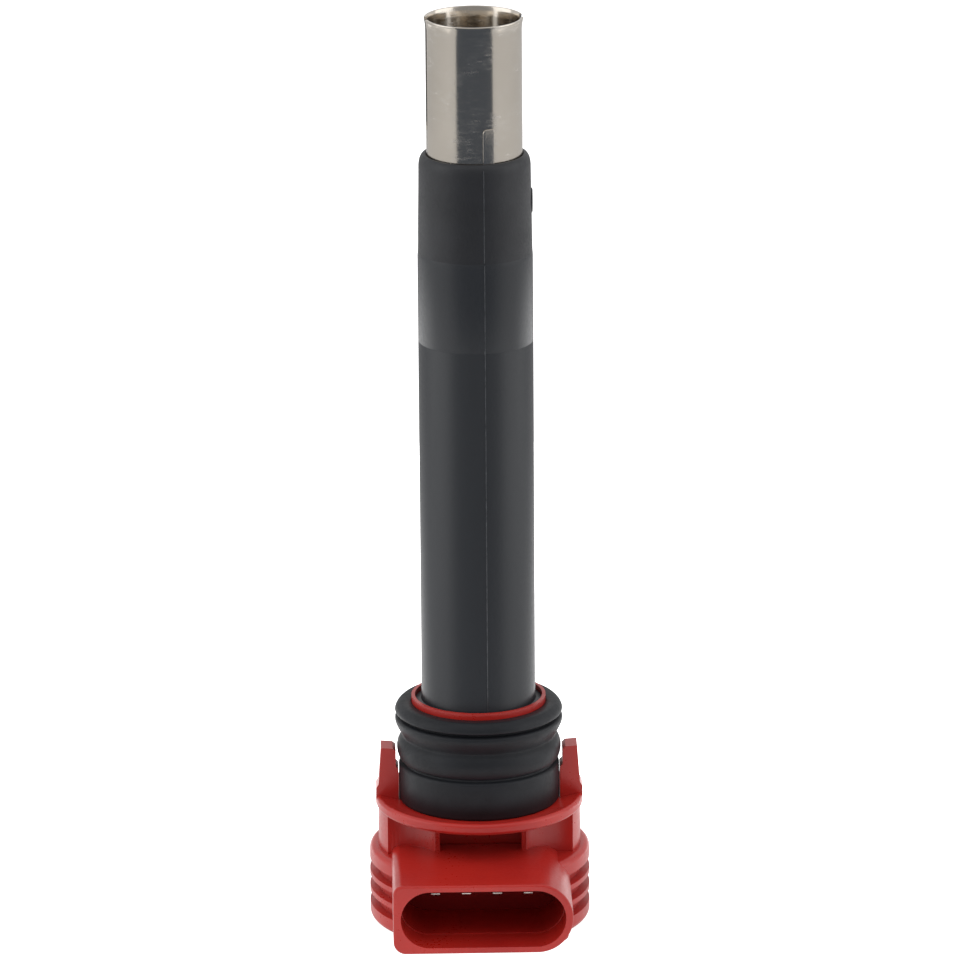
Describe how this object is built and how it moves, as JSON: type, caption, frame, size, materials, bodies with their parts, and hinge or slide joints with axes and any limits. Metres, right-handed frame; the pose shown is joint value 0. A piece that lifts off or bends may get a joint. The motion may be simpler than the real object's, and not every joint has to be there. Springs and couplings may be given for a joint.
{
  "type": "ignition coil",
  "caption": "Plug-top ignition coil: ribbed red head with a four-way connector and snap arms, ring seal, long black tube, rubber collar and split metal sleeve.",
  "frame": {"origin": "centre of the head's flat end face, on which the coil stands", "axes": "+Z along the coil towards the spark plug end; the connector's mouth points to -Y; +X is to the right seen from the connector"},
  "size_m": [0.0358, 0.0442, 0.1498],
  "materials": {
    "red_moulding": "satin moulded, glass-filled",
    "red_cover": "satin moulded",
    "potting": "cast, slightly glossy",
    "tinned_blade": "tinned",
    "board": "satin solder resist",
    "chip_case": "matte moulded",
    "spreader": "mill",
    "chip_cap": "matte",
    "enamelled_wire": "enamelled",
    "black_tube": "fine matte moulded",
    "steel_shield": "rolled",
    "bobbin_plastic": "natural moulded",
    "core_steel": "laminated",
    "magnet": "sintered",
    "buffer_rubber": "foam",
    "casting_resin": "cast",
    "brass_terminal": "satin",
    "resistor_body": "glazed",
    "spring_steel": "bright wire",
    "silicone": "satin silicone",
    "plated_sleeve": "bright plated, handled",
    "black_rubber": "matte",
    "seal_rubber": "matte"
  },
  "bodies": {
    "root": {"head_housing": "red_moulding", "head_cover": "red_cover", "head_potting": "potting", "terminal_supply": "tinned_blade", "terminal_ground": "tinned_blade", "terminal_signal": "tinned_blade", "terminal_engine_ground": "tinned_blade", "driver_board": "board", "power_switch": "chip_case", "driver_chip": "chip_case", "heat_spreader": "spreader", "board_capacitors": "chip_cap", "lead_wires": "enamelled_wire", "coil_tube": "black_tube", "outer_shield": "steel_shield", "inner_shield": "steel_shield", "primary_bobbin": "bobbin_plastic", "primary_winding": "enamelled_wire", "secondary_bobbin": "bobbin_plastic", "secondary_winding": "enamelled_wire", "core_rod": "core_steel", "core_magnets": "magnet", "core_buffers": "buffer_rubber", "coil_resin": "casting_resin", "hv_terminal": "brass_terminal", "suppression_resistor": "resistor_body", "contact_spring": "spring_steel", "plug_boot": "silicone", "contact_sleeve": "plated_sleeve", "end_collar": "black_rubber", "flange_seal": "seal_rubber"},
    "plug_contact": {"contact_cup": "brass_terminal"}
  },
  "joints": [
    {"name": "contact_press", "type": "slide", "parent": "root", "child": "plug_contact", "axis": [0, 0, 1], "range_m": [-0.005, 0], "stiffness_N_per_m": 800, "springref_m": 0.001, "deforming": ["contact_spring"]}
  ]
}
